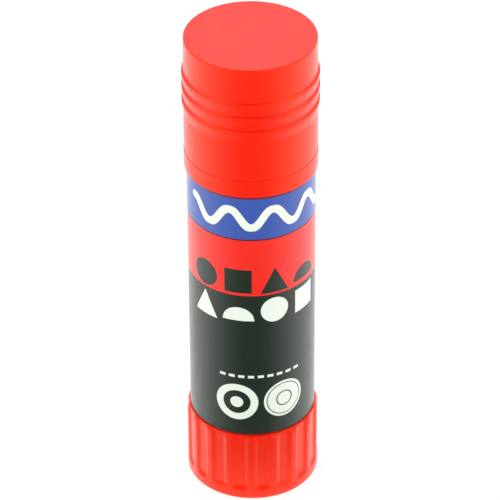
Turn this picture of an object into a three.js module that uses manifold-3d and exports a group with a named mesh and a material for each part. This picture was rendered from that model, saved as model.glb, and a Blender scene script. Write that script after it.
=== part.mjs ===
// Twist-up glue stick: ribbed pull-off cap, labelled barrel, fluted turning knob, screw, carrier cup and glue.
// Millimetres, +Z up. The origin is the centre of the knob's underside, on the surface it stands on.

import * as THREE from 'three';
import { mergeVertices } from 'three/addons/utils/BufferGeometryUtils.js';
import Module from 'manifold-3d';

const wasm = await Module();
wasm.setup();

// Driving dimensions

const facets = 56; // sides of every large round surface

const boreRadius = 12.3; // inside of the barrel, where the glue slides
const neckWall = 1.0;
const neckLength = 25.0; // part of the barrel that the cap covers
const shoulderStep = 0.7; // the barrel's body stands this far outside its neck
const bodyLength = 64.4;
const floorThickness = 1.3;
const floorHoleRadius = 3.6;
const collarStep = 0.8; // the collar inside the knob is this much slimmer than the body
const collarWall = 1.1;
const collarDrop = 3.0; // how far the collar reaches below the barrel's floor
const snapBeadHeight = 0.12; // bead round the neck that clicks into the cap
const snapBeadWidth = 1.6;
const snapBeadRise = 4.0; // from the shoulder up to the middle of the bead
const mouthChamfer = 0.35;

const guideCount = 4; // keys along the bore that stop the carrier turning
const guideWidth = 1.4;
const guideHeight = 0.5;

const labelThickness = 0.12;
const labelMargin = 0.05; // bare barrel above and below the label
const labelGlueGap = 0.03;
const labelSeam = 0.5; // butt joint of the wrapped label, at the back

const capLength = 32.0;
const capWall = 1.16; // at the lip
const capTopThickness = 1.5;
const capTopRound = 0.9;
const capDraft = 0.25; // the cap's outside is this much slimmer at its closed end
const capBelly = 0.06;
const lipHeight = 4.2;
const lipStep = 0.1;
const sealDepth = 1.5; // the cap's inner ring reaches this far into the mouth
const sealWall = 0.9;
const ringCount = 3;
const ringPitch = 3.38;
const ringHeight = 0.36; // how far a grip ring stands out
const ringCrest = 1.2; // width of its flat crest
const ringTopFlank = 0.36; // the upper flank is short and crisp
const ringLowFlank = 1.3;
const ringsBelowTop = 8.06; // from the cap's top down to the first ring's foot

const knobHeight = 17.8;
const knobWall = 1.0; // behind the flutes
const recessDepth = 6.5; // hollow underside
const webThickness = 1.2;
const hubRadius = 4.4;
const ribCount = 18;
const ribCrestAngle = 3.8; // degrees of the circle that a rib's crest takes
const ribFlankAngle = 4.7;
const ribFlankSag = 0.42; // share of the flute's depth reached half way down a flank
const ribFootSag = 0.92; // and at the flank's foot
const ribPhase = -1.2; // degrees, turns the rib that faces the front
const fluteDepth = 0.55;
const rimHeight = 2.6; // plain band below the flutes
const fluteRunOut = 0.8;
const shoulderHeight = 1.4; // the ribs round over to the top edge within this height
const shoulderBreak = 0.65; // share of that height where the rounding has its corner
const knobChamfer = 0.4;

const threadLead = 5.0; // carrier travel for each turn of the knob
const threadRootRadius = 2.55;
const threadDepth = 1.05;
const threadRootWidth = 2.0;
const threadTipWidth = 1.2;
const threadSteps = 16; // facets in each turn of the thread
const flangeRadius = 6.0;
const flangeThickness = 1.2;
const journalRadius = 3.35; // plain bearing in the floor's hole
const tailSide = 4.6; // square end, driven by the knob's hub
const tipHeight = 1.2;
const spareThread = 6.4; // thread still in the nut at full lift

const carrierHeight = 12.0;
const carrierWall = 1.15;
const carrierWeb = 1.2;
const carrierSkirt = 3.0; // hollow below the web
const wiperHeight = 1.2; // bands that touch the bore at both rims
const wiperRelief = 0.25;
const cupLip = 0.2; // inward lip that holds the glue
const nutHeight = 9.0;
const nutWall = 1.35;
const rimBelowMouth = 6.45; // where the cup's rim stops, under the barrel's mouth

const glueSetback = 2.2; // fresh glue stands this far below the mouth
const glueChamfer = 0.5;
const glueBoreRoof = 1.5; // free height above the screw's tip

const seatGap = 0.3; // between pieces that rest on each other
const runGap = 0.25; // radial play of the parts that turn or slide
const capGap = 0.22;
const socketGap = 0.1;
const threadGap = 0.22; // play of the thread in the nut, on each flank
const overcut = 1.0; // how far a cutting tool passes the surface it opens

// Sizes worked out from the ones above

const neckRadius = boreRadius + neckWall;
const bodyRadius = neckRadius + shoulderStep;
const collarRadius = bodyRadius - collarStep;
const knobInnerRadius = collarRadius + runGap;
const knobRadius = knobInnerRadius + knobWall + fluteDepth;
const capInnerRadius = neckRadius + capGap;
const lipRadius = capInnerRadius + capWall;

const webTop = recessDepth + webThickness;
const collarBottom = webTop + seatGap;
const floorBottom = collarBottom + collarDrop;
const floorTop = floorBottom + floorThickness;
const hubTop = floorBottom - runGap;
const bodyBottom = knobHeight + seatGap;
const shoulderTop = bodyBottom + bodyLength;
const mouthTop = shoulderTop + neckLength;
const beadMiddle = shoulderTop + snapBeadRise;

const capBottom = shoulderTop + seatGap;
const capTop = capBottom + capLength;
const capCeiling = capTop - capTopThickness;

const flangeBottom = floorTop + runGap;
const flangeTop = flangeBottom + flangeThickness;
const carrierBottom = flangeTop + seatGap;
const carrierTop = carrierBottom + carrierHeight;
const webBottom = carrierBottom + carrierSkirt;
const cupFloor = webBottom + carrierWeb;
const nutTop = carrierBottom + nutHeight;
const lift = mouthTop - rimBelowMouth - carrierTop; // full travel of the carrier
const spindleTop = carrierBottom + lift + spareThread;
const threadStart = flangeTop + threadRootWidth / 2 + seatGap;

const threadTipRadius = threadRootRadius + threadDepth;
const nutBoreRadius = threadRootRadius + runGap;
const nutRadius = threadTipRadius + runGap + nutWall;
const carrierRadius = boreRadius - runGap;
const cupRadius = carrierRadius - carrierWall;
const glueRadius = boreRadius - seatGap;
const glueTop = mouthTop - glueSetback;

// Materials

const plastic = (name, color, roughness) =>
  new THREE.MeshStandardMaterial({ name, color, roughness, metalness: 0 });
const redPlastic = plastic('red_plastic', 0xe8281c, 0.35);
const whitePlastic = plastic('white_plastic', 0xf2f1ec, 0.4);
const labelFilm = plastic('label_film', 0x2c3a33, 0.3);
const gluePaste = plastic('glue_paste', 0xf4f1e6, 0.6);

// Solids: geometry goes into the boolean library as merged, closed triangles and comes back out the same way

function toSolid(geometry) {
  geometry.deleteAttribute('normal');
  geometry.deleteAttribute('uv');
  const merged = mergeVertices(geometry, 1e-5);
  const vertProperties = new Float32Array(merged.attributes.position.array);
  const triVerts = new Uint32Array(merged.index.array);
  return new wasm.Manifold(new wasm.Mesh({ numProp: 3, vertProperties, triVerts }));
}

function toGeometry(solid) {
  const mesh = solid.getMesh();
  const geometry = new THREE.BufferGeometry();
  geometry.setAttribute('position', new THREE.BufferAttribute(mesh.vertProperties, 3));
  geometry.setIndex(new THREE.BufferAttribute(mesh.triVerts, 1));
  geometry.computeVertexNormals();
  return geometry;
}

// A revolve about Z of a profile of [radius, height] pairs that runs up the outside and closes on itself
function revolve(profile, sides = facets) {
  const points = profile.map(([radius, height]) => new THREE.Vector2(Math.max(radius, 0), height));
  if (points[0].x > 0) {
    points.push(points[0].clone());
  }
  const geometry = new THREE.LatheGeometry(points, sides);
  geometry.rotateX(Math.PI / 2);
  return toSolid(geometry);
}

function prism(shape, bottom, top, curveSegments = facets / 2) {
  const geometry = new THREE.ExtrudeGeometry(shape, { depth: top - bottom, bevelEnabled: false, curveSegments });
  geometry.translate(0, 0, bottom);
  return toSolid(geometry);
}

function squarePrism(side, bottom, top) {
  const geometry = new THREE.BoxGeometry(side, side, top - bottom);
  geometry.translate(0, 0, (bottom + top) / 2);
  return toSolid(geometry);
}

// Straight keys, evenly spaced round the axis, between two radii
function keys(innerRadius, outerRadius, width, bottom, top) {
  let all = null;
  for (let i = 0; i < guideCount; i += 1) {
    const geometry = new THREE.BoxGeometry(outerRadius - innerRadius, width, top - bottom);
    geometry.translate((innerRadius + outerRadius) / 2, 0, (bottom + top) / 2);
    geometry.rotateZ(((i + 0.5) / guideCount) * 2 * Math.PI);
    const key = toSolid(geometry);
    all = all ? all.add(key) : key;
  }
  return all;
}

// Triangles gathered one flat-ish patch at a time, with corners listed anticlockwise as seen from outside
function startSkin() {
  const positions = [];
  const index = [];
  return {
    point: (point) => positions.push(...point) / 3 - 1,
    patch: (...corners) => {
      for (let i = 1; i + 1 < corners.length; i += 1) {
        index.push(corners[0], corners[i], corners[i + 1]);
      }
    },
    close: () => {
      const geometry = new THREE.BufferGeometry();
      geometry.setAttribute('position', new THREE.BufferAttribute(new Float32Array(positions), 3));
      geometry.setIndex(index);
      return toSolid(geometry);
    },
  };
}

// Closed skin over a stack of rings that all have the same number of [x, y, z] points, listed
// anticlockwise as seen from the last ring
function loft(rings) {
  const skin = startSkin();
  const rows = rings.map((ring) => ring.map(skin.point));
  const count = rings[0].length;
  for (let row = 0; row + 1 < rows.length; row += 1) {
    for (let i = 0; i < count; i += 1) {
      const j = (i + 1) % count;
      skin.patch(rows[row][i], rows[row][j], rows[row + 1][j], rows[row + 1][i]);
    }
  }
  skin.patch(...rows[0].slice().reverse());
  skin.patch(...rows[rows.length - 1]);
  return skin.close();
}

// The thread is left-handed, so a knob turned right, as seen from below, lifts the nut.
// Steps are counted up from threadStart.
const threadTurn = (step) => -(step / threadSteps) * 2 * Math.PI - Math.PI / 2;

// Trapezoid section of the ridge: from the root under it, over its tip, to the root above it
function threadSection(step, rootRadius, tipRadius, grow) {
  const height = threadStart + (step / threadSteps) * threadLead;
  const turn = threadTurn(step);
  const rootHalf = threadRootWidth / 2 + grow;
  const tipHalf = threadTipWidth / 2 + grow;
  const section = [
    [rootRadius, -rootHalf],
    [tipRadius, -tipHalf],
    [tipRadius, tipHalf],
    [rootRadius, rootHalf],
  ];
  return section.map(([r, dz]) => [r * Math.cos(turn), r * Math.sin(turn), height + dz]);
}

// The groove that the ridge runs in, as a cutter
function threadGroove(firstStep, lastStep) {
  const inner = threadRootRadius - threadDepth / 4;
  const outer = threadTipRadius + runGap;
  const rings = [];
  for (let step = firstStep; step <= lastStep; step += 1) {
    rings.push(threadSection(step, inner, outer, threadGap));
  }
  return loft(rings);
}

// Corners of a threadSection
const [under, tipLow, tipHigh, over] = [0, 1, 2, 3];

// Flat ring of a rod, with one point for every step of a thread turn from firstStep on
function rodRing(skin, firstStep, radius, height) {
  const ring = [];
  for (let i = 0; i < threadSteps; i += 1) {
    const turn = threadTurn(firstStep + i);
    ring.push(skin.point([radius * Math.cos(turn), radius * Math.sin(turn), height]));
  }
  return ring;
}

function coverRidge(skin, sections) {
  const last = sections.length - 1;
  for (let step = 0; step < last; step += 1) {
    const here = sections[step];
    const next = sections[step + 1];
    for (let side = under; side < over; side += 1) {
      skin.patch(here[side], here[side + 1], next[side + 1], next[side]);
    }
    if (step + threadSteps < last) {
      const above = sections[step + threadSteps];
      const nextAbove = sections[step + threadSteps + 1];
      skin.patch(here[over], above[under], nextAbove[under], next[over]);
    }
  }
}

function coverLowEnd(skin, sections, bottom) {
  const first = sections[0];
  const ring = rodRing(skin, 0, threadRootRadius, bottom);
  const final = threadSteps - 1;
  for (let i = 0; i < final; i += 1) {
    skin.patch(ring[i], sections[i][under], sections[i + 1][under], ring[i + 1]);
  }
  skin.patch(sections[final][under], sections[final + 1][under], first[over], first[under], ring[0], ring[final]);
  skin.patch(first[under], first[over], first[tipHigh], first[tipLow]);
  skin.patch(...ring);
}

function coverHighEnd(skin, sections, top) {
  const last = sections.length - 1;
  const final = sections[last];
  const start = last - threadSteps;
  const ring = rodRing(skin, last, threadRootRadius, top);
  const tip = rodRing(skin, last, threadRootRadius / 2, top + tipHeight);
  for (let i = 1; i < threadSteps; i += 1) {
    const j = (i + 1) % threadSteps;
    skin.patch(sections[start + i][over], ring[i], ring[j], sections[start + i + 1][over]);
  }
  skin.patch(sections[start + 1][over], sections[start][over], final[under], final[over], ring[0], ring[1]);
  skin.patch(final[over], final[under], final[tipLow], final[tipHigh]);
  for (let i = 0; i < threadSteps; i += 1) {
    const j = (i + 1) % threadSteps;
    skin.patch(ring[i], tip[i], tip[j], ring[j]);
  }
  skin.patch(...tip.slice().reverse());
}

// Threaded rod as one skin: the ridge, the root between its turns, a plain foot and a tapered tip
function threadedRod(bottom, top) {
  const skin = startSkin();
  const last = Math.floor(((top - threadRootWidth - threadStart) / threadLead) * threadSteps);
  const sections = [];
  for (let step = 0; step <= last; step += 1) {
    sections.push(threadSection(step, threadRootRadius, threadTipRadius, 0).map(skin.point));
  }
  coverRidge(skin, sections);
  coverLowEnd(skin, sections, bottom);
  coverHighEnd(skin, sections, top);
  return skin.close();
}

// Pieces

function makeBarrel() {
  const beadTop = beadMiddle + snapBeadWidth / 2;
  const beadLow = beadMiddle - snapBeadWidth / 2;
  const beadFlat = snapBeadWidth / 4;
  const tube = revolve([
    [floorHoleRadius, floorBottom],
    [collarRadius - collarWall, floorBottom],
    [collarRadius - collarWall, collarBottom],
    [collarRadius - mouthChamfer, collarBottom],
    [collarRadius, collarBottom + mouthChamfer],
    [collarRadius, bodyBottom],
    [bodyRadius, bodyBottom],
    [bodyRadius, shoulderTop],
    [neckRadius, shoulderTop],
    [neckRadius, beadLow],
    [neckRadius + snapBeadHeight, beadMiddle - beadFlat],
    [neckRadius + snapBeadHeight, beadMiddle + beadFlat],
    [neckRadius, beadTop],
    [neckRadius, mouthTop - mouthChamfer],
    [neckRadius - mouthChamfer, mouthTop],
    [boreRadius, mouthTop],
    [boreRadius, floorTop],
    [floorHoleRadius, floorTop],
  ]);
  const guideTop = glueTop - glueChamfer;
  const guides = keys(boreRadius - guideHeight, boreRadius + neckWall / 2, guideWidth, floorTop, guideTop);
  return tube.add(guides);
}

function makeLabel() {
  const inner = bodyRadius + labelGlueGap;
  const outer = inner + labelThickness;
  const halfSeam = labelSeam / 2 / outer;
  const start = Math.PI / 2 + halfSeam;
  const end = Math.PI / 2 - halfSeam + 2 * Math.PI;
  const wrap = new THREE.Shape();
  wrap.absarc(0, 0, outer, start, end, false);
  wrap.absarc(0, 0, inner, end, start, true);
  return prism(wrap, bodyBottom + labelMargin, shoulderTop - labelMargin);
}

function makeCap() {
  const lipTop = capBottom + lipHeight;
  const wallRadius = lipRadius - lipStep;
  const topRadius = lipRadius - capDraft;
  const edge = capWall / 4;
  const profile = [
    [capInnerRadius + edge, capBottom],
    [lipRadius - edge, capBottom],
    [lipRadius, capBottom + edge],
    [lipRadius, lipTop - lipStep],
    [wallRadius, lipTop],
  ];
  const firstFoot = capTop - ringsBelowTop;
  const lastLow = firstFoot - (ringCount - 1) * ringPitch - ringTopFlank - ringCrest - ringLowFlank;
  profile.push([wallRadius + capBelly, (lipTop + lastLow) / 2]);
  const crestRadius = wallRadius + ringHeight;
  for (let i = ringCount - 1; i >= 0; i -= 1) {
    const foot = firstFoot - i * ringPitch;
    const crestTop = foot - ringTopFlank;
    const crestLow = crestTop - ringCrest;
    profile.push([wallRadius, crestLow - ringLowFlank], [crestRadius, crestLow], [crestRadius, crestTop]);
    profile.push([i === 0 ? topRadius : wallRadius, foot]);
  }
  const roundSteps = 3;
  for (let i = 0; i <= roundSteps; i += 1) {
    const turn = (i / roundSteps) * (Math.PI / 2);
    profile.push([topRadius - capTopRound * (1 - Math.cos(turn)), capTop - capTopRound * (1 - Math.sin(turn))]);
  }
  const sealRadius = boreRadius - runGap;
  const sealBottom = mouthTop - sealDepth;
  const grooveRadius = capInnerRadius + snapBeadHeight;
  const grooveHalf = snapBeadWidth / 2;
  profile.push(
    [0, capTop],
    [0, capCeiling],
    [sealRadius - sealWall, capCeiling],
    [sealRadius - sealWall, sealBottom],
    [sealRadius - edge, sealBottom],
    [sealRadius, sealBottom + edge],
    [sealRadius, capCeiling],
    [capInnerRadius, capCeiling],
    [capInnerRadius, beadMiddle + grooveHalf],
    [grooveRadius, beadMiddle + grooveHalf / 2],
    [grooveRadius, beadMiddle - grooveHalf / 2],
    [capInnerRadius, beadMiddle - grooveHalf],
    [capInnerRadius, capBottom + edge],
  );
  return revolve(profile);
}

// Outline of the knob: narrow ribs with flat crests, sloping flanks and a nearly flat flute between each two.
// crest and floor are the radii at this height, with floor as deep as the flute gets.
function knobRing(height, crest, floor) {
  const pitch = 360 / ribCount;
  const halfCrest = ribCrestAngle / 2;
  const flank = halfCrest + ribFlankAngle / 2;
  const foot = halfCrest + ribFlankAngle;
  const section = [
    [-halfCrest, 0],
    [halfCrest, 0],
    [flank, ribFlankSag],
    [foot, ribFootSag],
    [pitch / 2, 1],
    [pitch - foot, ribFootSag],
    [pitch - flank, ribFlankSag],
  ];
  const ring = [];
  for (let rib = 0; rib < ribCount; rib += 1) {
    for (const [offset, share] of section) {
      const angle = THREE.MathUtils.degToRad(rib * pitch + offset + ribPhase - 90);
      const radius = crest - share * (crest - floor);
      ring.push([radius * Math.cos(angle), radius * Math.sin(angle), height]);
    }
  }
  return ring;
}

function makeKnob() {
  const floor = knobRadius - fluteDepth;
  const breakSink = fluteDepth * (1 - Math.sqrt(1 - shoulderBreak ** 2));
  const breakHeight = knobHeight - shoulderHeight * (1 - shoulderBreak);
  const blank = loft([
    knobRing(0, knobRadius - knobChamfer, knobRadius - knobChamfer),
    knobRing(knobChamfer, knobRadius, knobRadius),
    knobRing(rimHeight, knobRadius, knobRadius),
    knobRing(rimHeight + fluteRunOut, knobRadius, floor),
    knobRing(knobHeight - shoulderHeight, knobRadius, floor),
    knobRing(breakHeight, knobRadius - breakSink, floor),
    knobRing(knobHeight, floor, floor),
  ]);
  const recess = revolve([
    [0, -overcut],
    [knobInnerRadius, -overcut],
    [knobInnerRadius, recessDepth - knobChamfer],
    [knobInnerRadius - knobChamfer, recessDepth],
    [0, recessDepth],
  ]);
  const cavity = revolve([
    [hubRadius, webTop],
    [knobInnerRadius, webTop],
    [knobInnerRadius, knobHeight + overcut],
    [0, knobHeight + overcut],
    [0, hubTop],
    [hubRadius, hubTop],
  ]);
  const socket = squarePrism(tailSide + 2 * socketGap, recessDepth - overcut, hubTop + overcut);
  return blank.subtract(recess).subtract(cavity).subtract(socket);
}

function makeSpindle() {
  const tailBottom = recessDepth + seatGap;
  const journalBottom = hubTop + socketGap;
  const foot = revolve([
    [0, journalBottom],
    [journalRadius, journalBottom],
    [journalRadius, flangeBottom],
    [flangeRadius, flangeBottom],
    [flangeRadius, flangeTop],
    [0, flangeTop],
  ]);
  const tail = squarePrism(tailSide, tailBottom, journalBottom + overcut);
  const rod = threadedRod(flangeTop - overcut / 2, spindleTop - tipHeight);
  return foot.add(tail).add(rod);
}

function makeCarrier() {
  const waist = carrierRadius - wiperRelief;
  const cup = revolve([
    [nutRadius - nutWall / 2, webBottom],
    [cupRadius, webBottom],
    [cupRadius, carrierBottom],
    [carrierRadius, carrierBottom],
    [carrierRadius, carrierBottom + wiperHeight],
    [waist, carrierBottom + wiperHeight + wiperRelief],
    [waist, carrierTop - wiperHeight - wiperRelief],
    [carrierRadius, carrierTop - wiperHeight],
    [carrierRadius, carrierTop],
    [cupRadius - cupLip, carrierTop],
    [cupRadius - cupLip, carrierTop - wiperHeight],
    [cupRadius, carrierTop - wiperHeight - cupLip],
    [cupRadius, cupFloor],
    [nutRadius - nutWall / 2, cupFloor],
  ]);
  const nut = revolve(
    [
      [nutBoreRadius, carrierBottom],
      [nutRadius, carrierBottom],
      [nutRadius, nutTop],
      [nutBoreRadius, nutTop],
    ],
    threadSteps,
  );
  const notches = keys(
    boreRadius - guideHeight - seatGap,
    carrierRadius + overcut,
    guideWidth + 2 * runGap,
    carrierBottom - overcut,
    carrierTop + overcut,
  );
  const stepsTo = (height) => Math.ceil(((height - threadStart) / threadLead) * threadSteps);
  const groove = threadGroove(-threadSteps, stepsTo(nutTop + threadLead));
  return cup.add(nut).subtract(notches).subtract(groove);
}

function makeGlue() {
  const bore = threadTipRadius + seatGap;
  const plugRadius = cupRadius - cupLip - seatGap;
  const stick = revolve([
    [nutRadius + seatGap, cupFloor + seatGap],
    [plugRadius, cupFloor + seatGap],
    [plugRadius, carrierTop + seatGap],
    [glueRadius, carrierTop + seatGap],
    [glueRadius, glueTop - glueChamfer],
    [glueRadius - glueChamfer, glueTop],
    [0, glueTop],
    [0, spindleTop + glueBoreRoof],
    [bore, spindleTop + glueBoreRoof],
    [bore, nutTop + seatGap],
    [nutRadius + seatGap, nutTop + seatGap],
  ]);
  const notches = keys(
    boreRadius - guideHeight - seatGap,
    glueRadius + overcut,
    guideWidth + 2 * runGap,
    carrierTop,
    glueTop + overcut,
  );
  return stick.subtract(notches);
}

// The assembly

const glueStick = new THREE.Group();
glueStick.name = 'glue_stick';

function place(name, solid, material) {
  const mesh = new THREE.Mesh(toGeometry(solid), material);
  mesh.name = name;
  glueStick.add(mesh);
}

place('barrel', makeBarrel(), whitePlastic);
place('label', makeLabel(), labelFilm);
place('cap', makeCap(), redPlastic);
place('knob', makeKnob(), redPlastic);
place('spindle', makeSpindle(), whitePlastic);
place('carrier', makeCarrier(), whitePlastic);
place('glue', makeGlue(), gluePaste);

export default glueStick;
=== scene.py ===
from math import cos, pi, radians, sin, sqrt

import bmesh
import bpy
from mathutils import Matrix, Vector


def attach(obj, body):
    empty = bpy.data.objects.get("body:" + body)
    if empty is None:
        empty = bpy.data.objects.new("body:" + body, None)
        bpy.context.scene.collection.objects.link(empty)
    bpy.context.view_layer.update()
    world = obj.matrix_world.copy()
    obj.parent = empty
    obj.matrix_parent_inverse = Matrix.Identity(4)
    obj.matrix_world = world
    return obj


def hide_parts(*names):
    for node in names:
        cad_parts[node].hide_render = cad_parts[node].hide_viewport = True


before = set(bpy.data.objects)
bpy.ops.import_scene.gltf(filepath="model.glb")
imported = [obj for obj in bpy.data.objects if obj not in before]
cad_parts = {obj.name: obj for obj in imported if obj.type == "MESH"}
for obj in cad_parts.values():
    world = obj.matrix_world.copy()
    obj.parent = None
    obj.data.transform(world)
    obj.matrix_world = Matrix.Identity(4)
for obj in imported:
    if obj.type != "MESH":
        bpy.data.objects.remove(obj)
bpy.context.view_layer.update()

mm = 0.001  # every size below is in millimetres
scene = bpy.context.scene
print("frame loaded:", ", ".join(sorted(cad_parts)))


# Mesh making

def roundCorners(outline, steps=5, hold=0.25):
    # outline is a closed list of (radius, height, rounding); each corner with a rounding becomes an arc;
    # hold is how far from an arc one more row stands, so that a long wall stays straight in its shading
    points = []
    count = len(outline)
    for i, (r, z, rounding) in enumerate(outline):
        here = Vector((r, z))
        before = Vector(outline[i - 1][:2]) - here
        after = Vector(outline[(i + 1) % count][:2]) - here
        if rounding <= 0 or before.angle(after) > radians(176):  # nearly straight
            points.append((r, z))
            continue
        half = before.angle(after) / 2
        cut = min(rounding * cos(half) / sin(half), before.length * 0.48, after.length * 0.48)
        start = here + before.normalized() * cut
        end = here + after.normalized() * cut
        if before.length / 2 > cut + hold:
            points.append(tuple(start + before.normalized() * hold))
        for step in range(steps + 1):
            t = step / steps
            # a quadratic through the corner is close enough to an arc at this size
            p = start * (1 - t) ** 2 + here * 2 * t * (1 - t) + end * t ** 2
            points.append((p.x, p.y))
        if after.length / 2 > cut + hold:
            points.append(tuple(end + after.normalized() * hold))
    return points


def meshPiece(name, bm, smoothAngle=42):
    bmesh.ops.remove_doubles(bm, verts=bm.verts, dist=1e-7)
    bmesh.ops.recalc_face_normals(bm, faces=bm.faces)
    mesh = bpy.data.meshes.new(name)
    bm.to_mesh(mesh)
    bm.free()
    for polygon in mesh.polygons:
        polygon.use_smooth = True
    mesh.set_sharp_from_angle(angle=radians(smoothAngle))
    piece = bpy.data.objects.new(name, mesh)
    scene.collection.objects.link(piece)
    return piece


def lofted(name, rings, smoothAngle=42):
    # joins rings of equal point counts into one skin that closes on itself from the last ring to the first
    bm = bmesh.new()
    rows = [[bm.verts.new((x * mm, y * mm, z * mm)) for x, y, z in ring] for ring in rings]
    for i, low in enumerate(rows):
        high = rows[(i + 1) % len(rows)]
        for k in range(len(low)):
            n = (k + 1) % len(low)
            corners = []
            for v in (low[k], low[n], high[n], high[k]):
                if all((v.co - c.co).length > 1e-9 for c in corners):
                    corners.append(v)
            if len(corners) >= 3:
                bm.faces.new(corners)
    return meshPiece(name, bm, smoothAngle)


def evenTurns(sides):
    return [2 * pi * k / sides for k in range(sides)]


def turned(name, outline, turns, reach=None, smoothAngle=42):
    # sweeps a closed outline of (radius, height) round the Z axis; reach bends the radius with the angle
    rings = []
    for r, z in outline:
        radii = [r if reach is None else reach(r, z, turn) for turn in turns]
        rings.append([(radius * cos(turn), radius * sin(turn), z) for radius, turn in zip(radii, turns)])
    return lofted(name, rings, smoothAngle)


def fitPiece(piece, body, node, slot, *materials):
    for material in materials:
        piece.data.materials.append(material)
    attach(piece, body)
    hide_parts(node)


# Shader making

def feed(tree, socket, value):
    if isinstance(value, bpy.types.NodeSocket):
        tree.links.new(value, socket)
    elif value is not None:
        socket.default_value = value


def addNode(tree, kind, *inputs, **settings):
    node = tree.nodes.new("ShaderNode" + kind)
    for key, value in settings.items():
        setattr(node, key, value)
    for socket, value in zip(node.inputs, inputs):
        feed(tree, socket, value)
    return node


def calc(tree, operation, *inputs):
    return addNode(tree, "Math", *inputs, operation=operation).outputs[0]


def ramp(tree, value, low, high, outLow, outHigh):
    return addNode(tree, "MapRange", value, low, high, outLow, outHigh).outputs[0]


def blend(tree, share, first, second):
    node = addNode(tree, "Mix", share, data_type="RGBA")
    feed(tree, node.inputs[6], first)
    feed(tree, node.inputs[7], second)
    return node.outputs[2]


def noise(tree, scale, detail=3.0, stretch=(1, 1, 1)):
    at = addNode(tree, "Mapping", addNode(tree, "TexCoord").outputs["Object"])
    at.inputs["Scale"].default_value = stretch
    node = addNode(tree, "TexNoise", at.outputs[0])
    node.inputs["Scale"].default_value = scale
    node.inputs["Detail"].default_value = detail
    return node.outputs[0]


def cloudy(tree, scale, first, second, detail=4, low=0.4, high=0.75):
    # the first colour with soft clouds of the second, which come in as the noise goes from low to high
    return blend(tree, ramp(tree, noise(tree, scale, detail), low, high, 0, 1), first, second)


def uneven(tree, scale, low, high):
    # a roughness that wanders between two values
    return ramp(tree, noise(tree, scale), 0.3, 0.7, low, high)


def relief(tree, *layers):
    # each layer is (height, strength, distance in mm)
    normal = None
    for height, strength, distance in layers:
        node = addNode(tree, "Bump")
        node.inputs["Strength"].default_value = strength
        node.inputs["Distance"].default_value = distance * mm
        feed(tree, node.inputs["Height"], height)
        feed(tree, node.inputs["Normal"], normal)
        normal = node.outputs[0]
    return normal


def finish(name, colour, roughness, normal=None, **sockets):
    # colour, roughness and normal are functions that are given the node tree
    material = bpy.data.materials.new(name)
    material.use_nodes = True
    tree = material.node_tree
    skin = tree.nodes["Principled BSDF"]
    for socket, value in sockets.items():
        skin.inputs[socket.replace("_", " ")].default_value = value
    feed(tree, skin.inputs["Base Color"], colour(tree))
    feed(tree, skin.inputs["Roughness"], roughness(tree))
    if normal:
        feed(tree, skin.inputs["Normal"], normal(tree))
    return material


# Camera

camera = {
    "distance": 611.0,  # in front of the stick's axis
    "height": 485.3,
    "tilt": 55.098,  # degrees from straight down
    "turn": 0.034,
    "roll": -0.353,
    "lens": 241.2,
}

def placeCamera():
    data = bpy.data.cameras.new("productCamera")
    data.sensor_width = 36
    data.lens = camera["lens"]
    data.clip_start = 0.01
    viewer = bpy.data.objects.new("productCamera", data)
    viewer.matrix_world = (
        Matrix.Translation((0, -camera["distance"] * mm, camera["height"] * mm))
        @ Matrix.Rotation(radians(camera["turn"]), 4, "Z")
        @ Matrix.Rotation(radians(camera["tilt"]), 4, "X")
        @ Matrix.Rotation(radians(camera["roll"]), 4, "Z")
    )
    scene.collection.objects.link(viewer)
    scene.camera = viewer

placeCamera()
print("camera placed")


# Studio: a white room and white paper, with a dark card on it in front and a dark gap round the camera

studio = {
    "floorSize": 3000.0,
    "floorColour": (0.15, 0.15, 0.15, 1),
    "floorRoughness": 0.9,
    "floorDrop": 0.02,  # mm under the stick
    "floorSeen": 0.88,  # glow that the camera sees, so that the paper is white and still takes a shadow
    "floorGlow": 1.0,  # glow that lights the stick
    "floorMirrored": 1.6,  # glow in its reflections
    "cardGlow": 0.07,  # glow of the darker card that lies in front
    "cardNear": (14.0, 36.0),  # mm from the stick's axis over which the card begins
    "cardFar": (300.0, 420.0),
    "cardTurn": (80.0, 20.0),  # degrees from the front over which it fades in
    "worldGlow": (0.5, 0.8),  # from the front and from behind
    "worldMirrored": (0.5, 1.2),
    "worldTurn": (-0.3, 0.4),  # parts of a direction of length 1 over which the room brightens to the back
    "gapGlow": 0.03,  # from high in front, where the camera stands
    "gapAhead": (0.05, -0.2),  # the same parts, over which that darker place fades in
    "gapAside": (0.38, 0.24),
    "gapAbove": (0.05, 0.25),
    "aim": (0, 0, 60),  # where all lamps point
}

lamps = {
    "topPanel": {"place": (0, 215, 520), "size": (300, 160), "watts": 0.52, "mirrored": True},
    "leftRoof": {"place": (-290, 60, 515), "size": (180, 300), "watts": 0.36, "mirrored": True},
    "rightRoof": {"place": (290, 60, 515), "size": (180, 300), "watts": 0.36, "mirrored": True},
    "backPanel": {"place": (0, 470, 390), "size": (560, 320), "watts": 0.2, "mirrored": True},
    "leftPanel": {"place": (-270, -270, 130), "size": (200, 200), "watts": 0.66, "mirrored": False},
    "rightPanel": {"place": (270, -270, 130), "size": (200, 200), "watts": 0.66, "mirrored": False},
}

def hangLamp(name, panel):
    data = bpy.data.lights.new(name, "AREA")
    data.shape = "RECTANGLE"
    data.size, data.size_y = (side * mm for side in panel["size"])
    data.energy = panel["watts"]
    lamp = bpy.data.objects.new(name, data)
    lamp.location = Vector(panel["place"]) * mm
    shine = Vector(studio["aim"]) - Vector(panel["place"])
    lamp.rotation_euler = shine.to_track_quat("-Z", "Y").to_euler()
    lamp.visible_camera = False
    lamp.visible_glossy = panel["mirrored"]
    scene.collection.objects.link(lamp)

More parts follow.
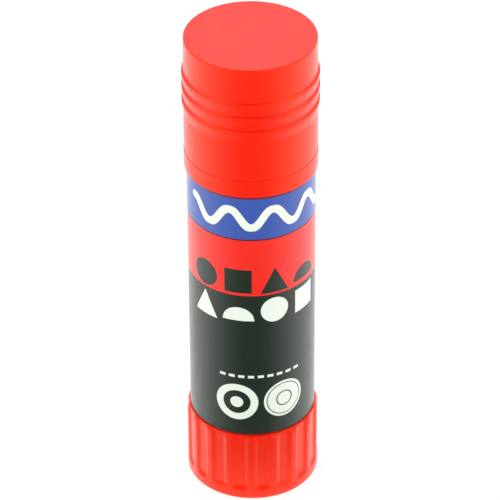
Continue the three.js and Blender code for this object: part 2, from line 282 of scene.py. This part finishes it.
def glowFor(tree, glow, mirrored, dark, darkGlow, seen):
    # dark is where the card or the gap in the light is; the camera sees plain white there too
    path = addNode(tree, "LightPath").outputs
    glow = ramp(tree, path["Is Glossy Ray"], 0, 1, glow, mirrored)
    direct = calc(tree, "MAXIMUM", path["Is Camera Ray"], path["Is Transmission Ray"])
    return ramp(tree, direct, 0, 1, ramp(tree, dark, 0, 1, glow, darkGlow), seen)

def layPaper():
    half = studio["floorSize"] / 2
    corners = ((-half, -half), (half, -half), (half, half), (-half, half))
    bm = bmesh.new()
    bm.faces.new([bm.verts.new((x * mm, y * mm, -studio["floorDrop"] * mm)) for x, y in corners])
    floor = meshPiece("paperFloor", bm)
    paper = finish(
        "whitePaper", lambda tree: studio["floorColour"], lambda tree: studio["floorRoughness"],
        Emission_Color=(1, 1, 1, 1), Specular_IOR_Level=0.1,
    )
    tree = paper.node_tree
    place = addNode(tree, "TexCoord").outputs["Object"]
    side = addNode(tree, "SeparateXYZ", place).outputs
    turn = calc(tree, "ABSOLUTE", calc(tree, "ARCTAN2", side[0], calc(tree, "MULTIPLY", side[1], -1.0)))
    away = calc(tree, "DIVIDE", addNode(tree, "VectorMath", place, operation="LENGTH").outputs["Value"], mm)
    card = ramp(tree, turn, *(radians(angle) for angle in studio["cardTurn"]), 0, 1)
    card = calc(tree, "MULTIPLY", card, ramp(tree, away, *studio["cardNear"], 0, 1))
    card = calc(tree, "MULTIPLY", card, ramp(tree, away, *studio["cardFar"], 1, 0))
    strength = glowFor(
        tree, studio["floorGlow"], studio["floorMirrored"], card, studio["cardGlow"], studio["floorSeen"],
    )
    feed(tree, tree.nodes["Principled BSDF"].inputs["Emission Strength"], strength)
    floor.data.materials.append(paper)

def lightWorld():
    world = bpy.data.worlds.new("studioWorld")
    world.use_nodes = True
    scene.world = world
    tree = world.node_tree
    side = addNode(tree, "SeparateXYZ", addNode(tree, "TexCoord").outputs["Generated"]).outputs
    gap = ramp(tree, side[1], *studio["gapAhead"], 0, 1)
    aside = calc(tree, "ABSOLUTE", side[0])
    gap = calc(tree, "MULTIPLY", gap, ramp(tree, aside, *studio["gapAside"], 0, 1))
    gap = calc(tree, "MULTIPLY", gap, ramp(tree, side[2], *studio["gapAbove"], 0, 1))
    glow = ramp(tree, side[1], *studio["worldTurn"], *studio["worldGlow"])
    mirrored = ramp(tree, side[1], *studio["worldTurn"], *studio["worldMirrored"])
    sky = tree.nodes["Background"]
    sky.inputs["Color"].default_value = (1, 1, 1, 1)
    feed(tree, sky.inputs["Strength"], glowFor(tree, glow, mirrored, gap, studio["gapGlow"], 1.0))

layPaper()
lightWorld()
for lampName, lampPanel in lamps.items():
    hangLamp(lampName, lampPanel)
scene.view_settings.view_transform = "Standard"
print("studio lit")


# Red moulded plastic, polished on the walls and satin on the cap's flat top

redPlastic = {
    "colour": (0.93, 0.010, 0.0015, 1),
    "cloud": (0.91, 0.013, 0.003, 1),  # slightly paler where the melt flowed slower
    "cloudScale": 90,
    "gloss": (0.30, 0.36),  # roughness of the walls
    "satin": (0.36, 0.44),
    "glossScale": 420,
    "wallTint": (1.0, 1.0, 0.5, 1),  # a warm, deep red in the middle that still whitens at the edges
    "flatTint": (1.0, 1.0, 0.85, 1),
    "sink": (0.08, 0.4),  # strength, and mm deep, of the long, faint sink marks
    "sinkScale": 60,
    "wallGrain": 0.12,
    "flatGrain": 0.5,
    "knobGrain": 0.15,
    "grainDepth": 0.03,
    "grainScale": 2600,
}

def makeRedPlastic(name, roughness, tint, grain):
    r = redPlastic

    def colour(tree):
        return cloudy(tree, r["cloudScale"], r["colour"], r["cloud"])

    def rough(tree):
        return uneven(tree, r["glossScale"], *roughness)

    def sinkAndGrain(tree):
        sink = noise(tree, r["sinkScale"], 1, (1, 1, 0.35))
        return relief(tree, (sink, *r["sink"]), (noise(tree, r["grainScale"], 2), grain, r["grainDepth"]))

    return finish(name, colour, rough, sinkAndGrain, IOR=1.46, Specular_Tint=tint)


# Cap

cap = {
    "bottom": 82.8,
    "top": 114.79,
    "lipRadius": 14.68,
    "lipHeight": 4.2,
    "lipStep": 0.02,
    "wallRadius": 14.58,
    "topRadius": 14.43,
    "topDraft": 0.06,  # how much wider the top's wall is at the rings
    "topRound": 0.35,
    "innerRadius": 13.52,
    "ceiling": 113.3,
    "ringFeet": (106.68, 103.3, 99.92),  # where each grip ring meets the wall above it
    "ringCrest": 14.94,
    "ringWidth": 0.75,
    "ringTopFlank": 0.24,
    "ringLowFlank": 2.1,
    "belly": 0.05,
    "bellyHeight": 92.2,
    "sealRadius": 12.05,
    "sealWall": 0.9,
    "sealBottom": 106.0,
    "grooveHeight": 86.5,  # groove for the barrel's bead
    "grooveDepth": 0.12,
    "grooveHalf": (0.35, 0.8),  # half of its height at the bottom and at the wall
    "flatDepth": 0.1,  # the satin finish covers what is flat this close to the top
    "sides": 192,
}

def makeCap():
    c = cap
    # each corner is (radius, height, rounding)
    outside = [
        (c["innerRadius"] + 0.2, c["bottom"], 0.1),
        (c["lipRadius"], c["bottom"], 0.12),
        (c["lipRadius"], c["bottom"] + c["lipHeight"] - c["lipStep"], 0.08),
        (c["wallRadius"], c["bottom"] + c["lipHeight"], 0.01),
        (c["wallRadius"] + c["belly"], c["bellyHeight"], 2.0),
    ]
    for foot in reversed(c["ringFeet"]):
        crestTop = foot - c["ringTopFlank"]
        crestLow = crestTop - c["ringWidth"]
        above = c["topRadius"] + c["topDraft"] if foot == c["ringFeet"][0] else c["wallRadius"]
        outside += [
            (c["wallRadius"], crestLow - c["ringLowFlank"], 2.0),
            (c["ringCrest"], crestLow, 2.0),
            (c["ringCrest"], crestTop, 0.12),
            (above, foot, 0.06),
        ]
    outside += [(c["topRadius"], c["top"], c["topRound"]), (0, c["top"], 0), (0, c["ceiling"], 0)]
    sealInner = c["sealRadius"] - c["sealWall"]
    groove = c["innerRadius"] + c["grooveDepth"]
    narrow, wide = c["grooveHalf"]
    inside = [
        (sealInner, c["ceiling"], 0.4),
        (sealInner, c["sealBottom"], 0.25),
        (c["sealRadius"], c["sealBottom"], 0.4),
        (c["sealRadius"], c["ceiling"], 0.3),
        (c["innerRadius"], c["ceiling"], 0.4),
        (c["innerRadius"], c["grooveHeight"] + wide, 0.2),
        (groove, c["grooveHeight"] + narrow, 0.2),
        (groove, c["grooveHeight"] - narrow, 0.2),
        (c["innerRadius"], c["grooveHeight"] - wide, 0.2),
        (c["innerRadius"], c["bottom"] + 0.3, 0.15),
    ]
    shell = turned("capShell", roundCorners(outside + inside), evenTurns(c["sides"]))
    r = redPlastic
    wall = makeRedPlastic("polishedRedPlastic", r["gloss"], r["wallTint"], r["wallGrain"])
    flat = makeRedPlastic("satinRedPlastic", r["satin"], r["flatTint"], r["flatGrain"])
    fitPiece(shell, "cap", "cap", "cap_red", wall, flat)
    for polygon in shell.data.polygons:
        if polygon.normal.z > 0.98 and polygon.center.z > (c["top"] - c["flatDepth"]) * mm:
            polygon.material_index = 1

makeCap()
print("cap made")


# Turning knob

knob = {
    "height": 17.8,
    "radius": 14.99,
    "fluteDepth": 0.55,
    "ribs": 18,
    "ribPhase": -1.2,  # degrees
    "pitchSteps": 40,  # faces from one rib to the next
    "crestHalf": 1.8,  # degrees from a rib's middle to the edge of its crest
    "flankFoot": 6.6,  # degrees from a rib's middle to the foot of its flank
    "footShare": 0.93,  # share of the depth reached at that foot
    "rim": 2.6,
    "lowEdge": ((0.0, 0.42), (0.10, 0.18), (0.36, 0.02), (0.6, 0.0)),  # height, and inset from the radius
    "runOutSteps": ((-0.1, 0.0), (0.05, 0.04), (0.3, 0.27), (0.55, 0.45)),  # height over the rim, and depth
    "runOut": 0.85,  # the flutes have their full depth from here on
    "hold": 0.3,  # mm to one more row, so that the long flutes stay straight in their shading
    "shoulder": 1.5,
    "shoulderSteps": 8,
    "shoulderArc": (0.93, 0.63),  # share of a quarter circle that the shoulder follows, and its depth there
    "topEdge": 0.12,
    "topSteps": ((0.03, 0.08), (0.0, 0.2)),  # depth below the top, and inset from the flutes
    "innerRadius": 13.45,
    "footEdge": 0.15,
    "recess": 6.5,
    "recessEdge": ((0.0, 0.4), (0.1, 0.12), (0.4, 0.0)),  # depth below the web, and inset from the wall
    "webTop": 7.7,
    "webFillet": 0.3,
    "hubRadius": 4.4,
    "hubTop": 10.75,
    "hubEdge": 0.2,
    "socket": 4.8,
}

def fluteShare(off):
    # 0 on a rib's crest and 1 at the bottom of a flute; off is in degrees from the rib's middle
    crest, foot, share = knob["crestHalf"], knob["flankFoot"], knob["footShare"]
    floorHalf = 180 / knob["ribs"] - foot
    if off <= crest:
        return 0.0
    if off >= foot:
        left = 1 - (off - foot) / floorHalf
        return 1 - (1 - share) * left * left
    t = (off - crest) / (foot - crest)
    endSlope = 2 * (1 - share) / floorHalf * (foot - crest)
    return (3 - 2 * t) * t * t * share + (t - 1) * t * t * endSlope

def knobSection(height, crest, floor):
    pitch = 360 / knob["ribs"]
    ring = []
    for rib in range(knob["ribs"]):
        for step in range(knob["pitchSteps"]):
            off = pitch * step / knob["pitchSteps"]
            turn = radians(rib * pitch + off + knob["ribPhase"] - 90)
            radius = crest - fluteShare(min(off, pitch - off)) * (crest - floor)
            ring.append((radius * cos(turn), radius * sin(turn), height))
    return ring

def squareSection(height, half):
    # the round section's points pushed out on to a square of that half width
    ring = []
    for x, y, _ in knobSection(height, 1, 1):
        reach = half / max(abs(x), abs(y))
        ring.append((x * reach, y * reach, height))
    return ring

def makeKnob():
    k = knob
    top, rim, outer, inner = k["height"], k["rim"], k["radius"], k["innerRadius"]
    floor = outer - k["fluteDepth"]
    low = top - k["shoulder"]
    fluteTop = rim + k["runOut"]
    # each row is (height, radius of the crests, radius of the flutes)
    rows = [(0.0, inner + k["footEdge"], inner + k["footEdge"])]
    rows += [(z, outer - inset, outer - inset) for z, inset in k["lowEdge"]]
    rows += [(rim + z, outer, outer - depth) for z, depth in k["runOutSteps"]]
    rows += [(z, outer, floor) for z in (fluteTop, fluteTop + k["hold"], low - k["hold"], low)]
    arc, arcDepth = k["shoulderArc"]
    for step in range(1, k["shoulderSteps"] + 1):
        t = step / k["shoulderSteps"]
        sink = (1 - sqrt(1 - (t * arc) ** 2)) / arcDepth
        crest = max(outer - k["fluteDepth"] * sink, floor)
        rows.append((low + (k["shoulder"] - k["topEdge"]) * t, crest, floor))
    web, fillet, hub, hubTop = k["webTop"], k["webFillet"], k["hubRadius"], k["hubTop"]
    # over the top edge, down the inside, over the web and up the hub, as (height, radius)
    above = [(top - drop, floor - inset) for drop, inset in k["topSteps"]]
    above += [(top, inner + k["topEdge"]), (top - k["topEdge"], inner)]
    above += [(web + fillet, inner), (web, inner - fillet), (web, hub + fillet), (web + fillet, hub)]
    above += [(hubTop - k["hubEdge"], hub), (hubTop, hub - k["hubEdge"])]
    under = [(k["recess"] - drop, inner - inset) for drop, inset in k["recessEdge"]]
    under.append((k["footEdge"], inner))
    rings = [knobSection(*row) for row in rows]
    rings += [knobSection(z, radius, radius) for z, radius in above]
    rings += [squareSection(z, k["socket"] / 2) for z in (hubTop, k["recess"])]
    rings += [knobSection(z, radius, radius) for z, radius in under]
    body = lofted("knobShell", rings, smoothAngle=50)
    r = redPlastic
    plastic = makeRedPlastic("knobRedPlastic", r["gloss"], r["wallTint"], r["knobGrain"])
    fitPiece(body, "knob", "knob", "knob_red", plastic)

makeKnob()
print("knob made")


# White moulded plastic of the inner pieces

whitePlastic = {
    "warmth": (0.985, 0.97, 0.94, 1),  # share of the colour left where the melt flowed slower
    "flowScale": 70,
    "gloss": (0.32, 0.42),
    "glossScale": 350,
    "grain": (0.3, 0.03),  # strength, and mm deep
    "grainScale": 1500,
}

def makeWhitePlastic(name, colour):
    w = whitePlastic
    warm = tuple(part * share for part, share in zip(colour, w["warmth"]))

    def flow(tree):
        return cloudy(tree, w["flowScale"], colour, warm)

    def rough(tree):
        return uneven(tree, w["glossScale"], *w["gloss"])

    def grain(tree):
        return relief(tree, (noise(tree, w["grainScale"], 2), *w["grain"]))

    return finish(
        name, flow, rough, grain,
        IOR=1.49, Subsurface_Weight=0.12, Subsurface_Scale=0.002, Subsurface_Radius=(1.0, 0.9, 0.8),
    )


# Barrel

barrel = {
    "bore": 12.3,
    "neck": 13.3,
    "body": 14.0,
    "collar": 13.2,
    "collarInner": 12.1,
    "collarBottom": 8.0,
    "floorBottom": 11.0,
    "floorTop": 12.3,
    "hole": 3.6,
    "bodyBottom": 18.1,
    "shoulder": 82.5,
    "mouth": 107.5,
    "bead": 86.5,
    "beadRise": 0.12,
    "beadHalf": (0.4, 0.8),  # half of its height at the crest and at the wall
    "keys": 4,
    "keyWidth": 1.4,
    "keyHeight": 0.5,
    "keyRoot": 0.4,  # how far a key's foot reaches into the wall
    "keyTop": 104.8,
    "colour": (0.80, 0.80, 0.775, 1),
    "sides": 160,
}

def keyTurns():
    return [(i + 0.5) * 2 * pi / barrel["keys"] for i in range(barrel["keys"])]

def addKey(bm, turn):
    b = barrel
    inside, outside = b["bore"] - b["keyHeight"], b["bore"] + b["keyRoot"]
    size = Vector((outside - inside, b["keyWidth"], b["keyTop"] - b["floorTop"]))
    middle = Vector(((outside + inside) / 2, 0, (b["keyTop"] + b["floorTop"]) / 2))
    place = Matrix.Rotation(turn, 4, "Z") @ Matrix.Translation(middle * mm)
    bmesh.ops.create_cube(bm, size=1, matrix=place @ Matrix.Diagonal((*(size * mm), 1)))

def makeBarrel():
    b = barrel
    narrow, wide = b["beadHalf"]
    crest = b["neck"] + b["beadRise"]
    outline = [
        (b["hole"], b["floorBottom"], 0.1),
        (b["collarInner"], b["floorBottom"], 0.3),
        (b["collarInner"], b["collarBottom"], 0.15),
        (b["collar"], b["collarBottom"], 0.35),
        (b["collar"], b["bodyBottom"], 0.1),
        (b["body"], b["bodyBottom"], 0.12),
        (b["body"], b["shoulder"], 0.12),
        (b["neck"], b["shoulder"], 0.1),
        (b["neck"], b["bead"] - wide, 0.3),
        (crest, b["bead"] - narrow, 0.3),
        (crest, b["bead"] + narrow, 0.3),
        (b["neck"], b["bead"] + wide, 0.3),
        (b["neck"], b["mouth"], 0.35),
        (b["bore"], b["mouth"], 0.2),
        (b["bore"], b["floorTop"], 0.5),
        (b["hole"], b["floorTop"], 0.1),
    ]
    tube = turned("barrelTube", roundCorners(outline), evenTurns(b["sides"]))
    bm = bmesh.new()
    bm.from_mesh(tube.data)
    for turn in keyTurns():
        addKey(bm, turn)
    bm.to_mesh(tube.data)
    bm.free()
    plastic = makeWhitePlastic("barrelWhitePlastic", b["colour"])
    fitPiece(tube, "barrel", "barrel", "barrel_white", plastic)

makeBarrel()
print("barrel made")


# Label

label = {
    "inner": 14.03,
    "outer": 14.15,
    "bottom": 18.15,
    "top": 82.45,
    "seam": 0.5,  # mm, open butt joint at the back
    "softEdge": (0.05, 0.04),  # height and inset of the film's softened upper and lower edge
    "sides": 240,
    "rows": 24,
    "redBottom": 56.5,
    "blueBottom": 71.4,
    "trap": 0.4,  # mm, dark line where the blue ink overlaps the red
    "lipShadeLine": 0.38,  # mm, painted shade: a band in the same dark colour along the film's upper edge, where the cap's lip shades it
    "blue": (0.045, 0.100, 0.42, 1),
    "red": (0.93, 0.024, 0.012, 1),
    "black": (0.0105, 0.021, 0.012, 1),
    # dark ink where the blue lies over the red, used again as painted shade under the cap's lip
    "overlapInkAndPaintedShade": (0.13, 0.012, 0.03, 1),
    "white": (0.87, 0.94, 0.83, 1),
    "blur": 0.035,  # mm, softness of the print's edges
    "gloss": (0.29, 0.36),
    "glossScale": 500,
    "wrinkle": (0.10, 0.15),  # strength, and mm deep
    "wrinkleScale": 110,
    "grain": (0.15, 0.02),
    "grainScale": 1800,
    "rowStart": -11.4,  # two rows of cut-paper shapes: the first one's place, the step, and the heights
    "rowStep": 8.3,
    "darkRow": 60.3,
    "darkSizes": {"disc": 3.35, "square": 3.1, "triangle": 3.3, "dome": 3.6},
    "paleRow": 52.3,
    "paleSizes": {"triangle": 3.3, "dome": 3.6, "disc": 3.25, "square": 3.0},
    "domeDrop": 2.6,
    "wave": {"u": 2.4, "v": 76.9, "swing": 2.2, "length": 9.8, "halfWidth": 0.95},
    "dashes": {"u": 1.9, "v": 34.3, "halfLength": 9.7, "step": 2.2, "dash": 1.4, "halfWidth": 0.35},
    "badgeRow": 27.1,
    "leftBadge": {"u": -3.6, "hoop": (4.05, 1.75), "core": 1.5},
    "rightBadge": {"u": 7.5, "radius": 4.92, "lines": ((4.2, 0.22), (1.9, 0.3))},
}

# Print shapes are distances in mm on the unrolled label, negative inside; u runs to the right of the front,
# and v upwards

def unroll(tree):
    split = addNode(tree, "SeparateXYZ", addNode(tree, "TexCoord").outputs["Object"]).outputs
    turn = calc(tree, "ARCTAN2", split[0], calc(tree, "MULTIPLY", split[1], -1.0))
    u = calc(tree, "MULTIPLY", turn, label["outer"])
    return addNode(tree, "CombineXYZ", u, calc(tree, "MULTIPLY", split[2], 1 / mm)).outputs[0]

def sidesFrom(tree, point, u, v):
    moved = addNode(tree, "VectorMath", point, (u, v, 0), operation="SUBTRACT").outputs[0]
    return addNode(tree, "SeparateXYZ", moved).outputs

def disc(tree, point, u, v, radius):
    away = addNode(tree, "VectorMath", point, (u, v, 0), operation="DISTANCE").outputs["Value"]
    return calc(tree, "SUBTRACT", away, radius)

def hoop(tree, point, u, v, radius, width):
    return calc(tree, "SUBTRACT", calc(tree, "ABSOLUTE", disc(tree, point, u, v, radius)), width / 2)

def square(tree, point, u, v, half):
    side = sidesFrom(tree, point, u, v)
    wide = calc(tree, "MAXIMUM", calc(tree, "ABSOLUTE", side[0]), calc(tree, "ABSOLUTE", side[1]))
    return calc(tree, "SUBTRACT", wide, half)

def triangle(tree, point, u, v, half):
    # as high as it is wide; out and up point square to a side that rises 2 for each 1 across
    out, up = 0.894, 0.447
    side = sidesFrom(tree, point, u, v)
    slope = calc(tree, "MULTIPLY", calc(tree, "ABSOLUTE", side[0]), out)
    slant = calc(tree, "SUBTRACT", calc(tree, "MULTIPLY_ADD", side[1], up, slope), half * up)
    return calc(tree, "MAXIMUM", slant, calc(tree, "MULTIPLY_ADD", side[1], -1.0, -half))

def dome(tree, point, u, v, radius):
    side = sidesFrom(tree, point, u, v)
    return calc(tree, "MAXIMUM", disc(tree, point, u, v, radius), calc(tree, "MULTIPLY", side[1], -1.0))

def wave(tree, point, u, v, swing, length, halfWidth):
    # one and three quarter waves to each side, so that it begins on a crest and ends in a trough
    side = sidesFrom(tree, point, u, v)
    halfLength = 1.75 * length
    phase = calc(tree, "MULTIPLY", side[0], 2 * pi / length)
    crest = calc(tree, "MULTIPLY", calc(tree, "SINE", phase), swing)
    slope = calc(tree, "MULTIPLY", calc(tree, "COSINE", phase), swing * 2 * pi / length)
    steep = calc(tree, "SQRT", calc(tree, "MULTIPLY_ADD", slope, slope, 1.0))
    away = calc(tree, "ABSOLUTE", calc(tree, "SUBTRACT", side[1], crest))
    band = calc(tree, "SUBTRACT", calc(tree, "DIVIDE", away, steep), halfWidth)
    ends = calc(tree, "SUBTRACT", calc(tree, "ABSOLUTE", side[0]), halfLength)
    tips = (disc(tree, point, u + end * halfLength, v - end * swing, halfWidth) for end in (-1, 1))
    return joined(tree, calc(tree, "MAXIMUM", band, ends), *tips)

def dashes(tree, point, u, v, halfLength, step, dash, halfWidth):
    side = sidesFrom(tree, point, u, v)
    along = calc(tree, "ABSOLUTE", calc(tree, "WRAP", side[0], step / 2, -step / 2))
    across = calc(tree, "SUBTRACT", calc(tree, "ABSOLUTE", side[1]), halfWidth)
    ends = calc(tree, "SUBTRACT", calc(tree, "ABSOLUTE", side[0]), halfLength)
    each = calc(tree, "MAXIMUM", calc(tree, "SUBTRACT", along, dash / 2), across)
    return calc(tree, "MAXIMUM", each, ends)

def joined(tree, first, *others):
    for distance in others:
        first = calc(tree, "MINIMUM", first, distance)
    return first

def without(tree, distance, cut):
    return calc(tree, "MAXIMUM", distance, calc(tree, "MULTIPLY", cut, -1.0))

def labelPrint(tree):
    point = unroll(tree)
    height = addNode(tree, "SeparateXYZ", point).outputs[1]
    blur = label["blur"]

    def above(v):
        return ramp(tree, height, v - blur, v + blur, 0.0, 1.0)

    def ink(distance):
        return ramp(tree, distance, -blur, blur, 1.0, 0.0)

    colour = blend(tree, above(label["redBottom"]), label["black"], label["red"])
    colour = blend(tree, above(label["blueBottom"] - label["trap"] / 2), colour, label["overlapInkAndPaintedShade"])
    colour = blend(tree, above(label["blueBottom"] + label["trap"] / 2), colour, label["blue"])
    # painted shade: a dark band along the film's top edge, where the cap's lip shades it
    colour = blend(tree, above(label["top"] - label["lipShadeLine"]), colour, label["overlapInkAndPaintedShade"])
    places = [label["rowStart"] + label["rowStep"] * i for i in range(4)]
    high, sizes = label["darkRow"], label["darkSizes"]
    dark = joined(
        tree,
        disc(tree, point, places[0], high, sizes["disc"]),
        square(tree, point, places[1], high, sizes["square"]),
        triangle(tree, point, places[2], high, sizes["triangle"]),
        dome(tree, point, places[3], high - label["domeDrop"], sizes["dome"]),
    )
    colour = blend(tree, ink(dark), colour, label["black"])
    low, sizes = label["paleRow"], label["paleSizes"]
    left, right, badge = label["leftBadge"], label["rightBadge"], label["badgeRow"]
    lines = joined(tree, *(hoop(tree, point, right["u"], badge, *line) for line in right["lines"]))
    pale = joined(
        tree,
        triangle(tree, point, places[0], low, sizes["triangle"]),
        dome(tree, point, places[1], low - label["domeDrop"], sizes["dome"]),
        disc(tree, point, places[2], low, sizes["disc"]),
        square(tree, point, places[3], low, sizes["square"]),
        wave(tree, point, **label["wave"]),
        dashes(tree, point, **label["dashes"]),
        hoop(tree, point, left["u"], badge, *left["hoop"]),
        disc(tree, point, left["u"], badge, left["core"]),
        without(tree, disc(tree, point, right["u"], badge, right["radius"]), lines),
    )
    return blend(tree, ink(pale), colour, label["white"])

def makeLabel():
    l = label
    gap = l["seam"] / 2 / l["outer"]
    steps = l["sides"]
    turns = [pi / 2 + gap + (2 * pi - 2 * gap) * k / steps for k in range(steps + 1)]
    rise = (l["top"] - l["bottom"]) / l["rows"]
    lift, inset = l["softEdge"]
    heights = [l["bottom"], l["bottom"] + lift]
    heights += [l["bottom"] + rise * i for i in range(1, l["rows"])]
    heights += [l["top"] - lift, l["top"]]

    def row(bm, radius, z):
        return [bm.verts.new((radius * cos(turn) * mm, radius * sin(turn) * mm, z * mm)) for turn in turns]

    def filmRadius(z):
        return l["outer"] - inset if z in (l["bottom"], l["top"]) else l["outer"]

    bm = bmesh.new()
    outer = [row(bm, filmRadius(z), z) for z in heights]
    inner = [row(bm, l["inner"], z) for z in heights]
    last = len(heights) - 1
    for i in range(last):
        for k in range(steps):
            bm.faces.new((outer[i][k], outer[i][k + 1], outer[i + 1][k + 1], outer[i + 1][k]))
            bm.faces.new((inner[i][k + 1], inner[i][k], inner[i + 1][k], inner[i + 1][k + 1]))
        bm.faces.new((inner[i][0], outer[i][0], outer[i + 1][0], inner[i + 1][0]))
        bm.faces.new((outer[i][steps], inner[i][steps], inner[i + 1][steps], outer[i + 1][steps]))
    for k in range(steps):
        bm.faces.new((inner[0][k], inner[0][k + 1], outer[0][k + 1], outer[0][k]))
        bm.faces.new((outer[last][k], outer[last][k + 1], inner[last][k + 1], inner[last][k]))

    def rough(tree):
        return uneven(tree, l["glossScale"], *l["gloss"])

    def wrinkle(tree):
        folds = noise(tree, l["wrinkleScale"], 2, (1, 1, 0.5))
        return relief(tree, (folds, *l["wrinkle"]), (noise(tree, l["grainScale"], 2), *l["grain"]))

    film = finish("printedFilm", labelPrint, rough, wrinkle, IOR=1.5, Specular_IOR_Level=0.45)
    wrap = meshPiece("labelWrap", bm, smoothAngle=30)
    fitPiece(wrap, "barrel", "label", "label_film", film)

makeLabel()
print("label printed")


# Glue, and the screw and carrier cup, which keep their own shape

glue = {
    "radius": 12.0,
    "bottom": 26.35,
    "top": 105.3,
    "edge": 0.7,  # rounding of the fresh end
    "plugRadius": 10.4,  # the part that sits in the carrier's cup
    "plugBottom": 18.55,
    "nutRoom": 5.5,
    "nutRoof": 23.35,
    "hole": 3.9,  # room for the screw
    "holeRoof": 96.95,
    "notchRadius": 11.5,
    "notchWidth": 1.9,
    "colour": (0.78, 0.77, 0.71, 1),
    "damp": (0.72, 0.715, 0.66, 1),
    "dampScale": 120,
    "gloss": (0.36, 0.52),
    "glossScale": 240,
    "dent": (0.25, 0.2),  # strength, and mm deep
    "dentScale": 160,
    "grain": (0.35, 0.04),
    "grainScale": 1400,
    "sides": 160,
}

def makePaste():
    g = glue

    def flow(tree):
        return cloudy(tree, g["dampScale"], g["colour"], g["damp"], 5, 0.35, 0.7)

    def rough(tree):
        return uneven(tree, g["glossScale"], *g["gloss"])

    def skin(tree):
        dents = noise(tree, g["dentScale"], 3)
        return relief(tree, (dents, *g["dent"]), (noise(tree, g["grainScale"], 3), *g["grain"]))

    return finish(
        "gluePaste", flow, rough, skin,
        IOR=1.45, Subsurface_Weight=0.35, Subsurface_Scale=0.003, Subsurface_Radius=(1.0, 0.95, 0.85),
    )

def makeGlue():
    g = glue
    outline = [
        (g["nutRoom"], g["plugBottom"], 0.2),
        (g["plugRadius"], g["plugBottom"], 0.3),
        (g["plugRadius"], g["bottom"], 0.15),
        (g["radius"], g["bottom"], 0.15),
        (g["radius"], g["top"], g["edge"]),
        (0, g["top"], 0),
        (0, g["holeRoof"], 0),
        (g["hole"], g["holeRoof"], 0.6),
        (g["hole"], g["nutRoof"], 0.2),
        (g["nutRoom"], g["nutRoof"], 0.2),
    ]
    half = g["notchWidth"] / 2 / g["notchRadius"]

    def offNotch(turn):
        return min(abs(turn - middle) for middle in keyTurns()) - half

    # each side of a notch stands between two points 0.006 radians apart, with no other point near them
    beside = [side * (half + step) for side in (-1, 1) for step in (-0.003, 0.003)]
    edges = [middle + off for middle in keyTurns() for off in beside]
    turns = sorted([turn for turn in evenTurns(g["sides"]) if abs(offNotch(turn)) > 0.01] + edges)

    def reach(r, z, turn):
        return min(r, g["notchRadius"]) if offNotch(turn) < 0 and z > g["bottom"] - 0.01 else r

    stick = turned("glueStick", roundCorners(outline), turns, reach)
    fitPiece(stick, "carrier", "glue", "glue_paste", makePaste())

screw = {
    "colour": (0.77, 0.77, 0.75, 1),
}

cup = {
    "colour": (0.79, 0.79, 0.77, 1),
}

def dressNode(node, material):
    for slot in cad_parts[node].material_slots:
        slot.material = material

makeGlue()
dressNode("spindle", makeWhitePlastic("screwWhitePlastic", screw["colour"]))
dressNode("carrier", makeWhitePlastic("cupWhitePlastic", cup["colour"]))
print("glue, screw and carrier dressed")
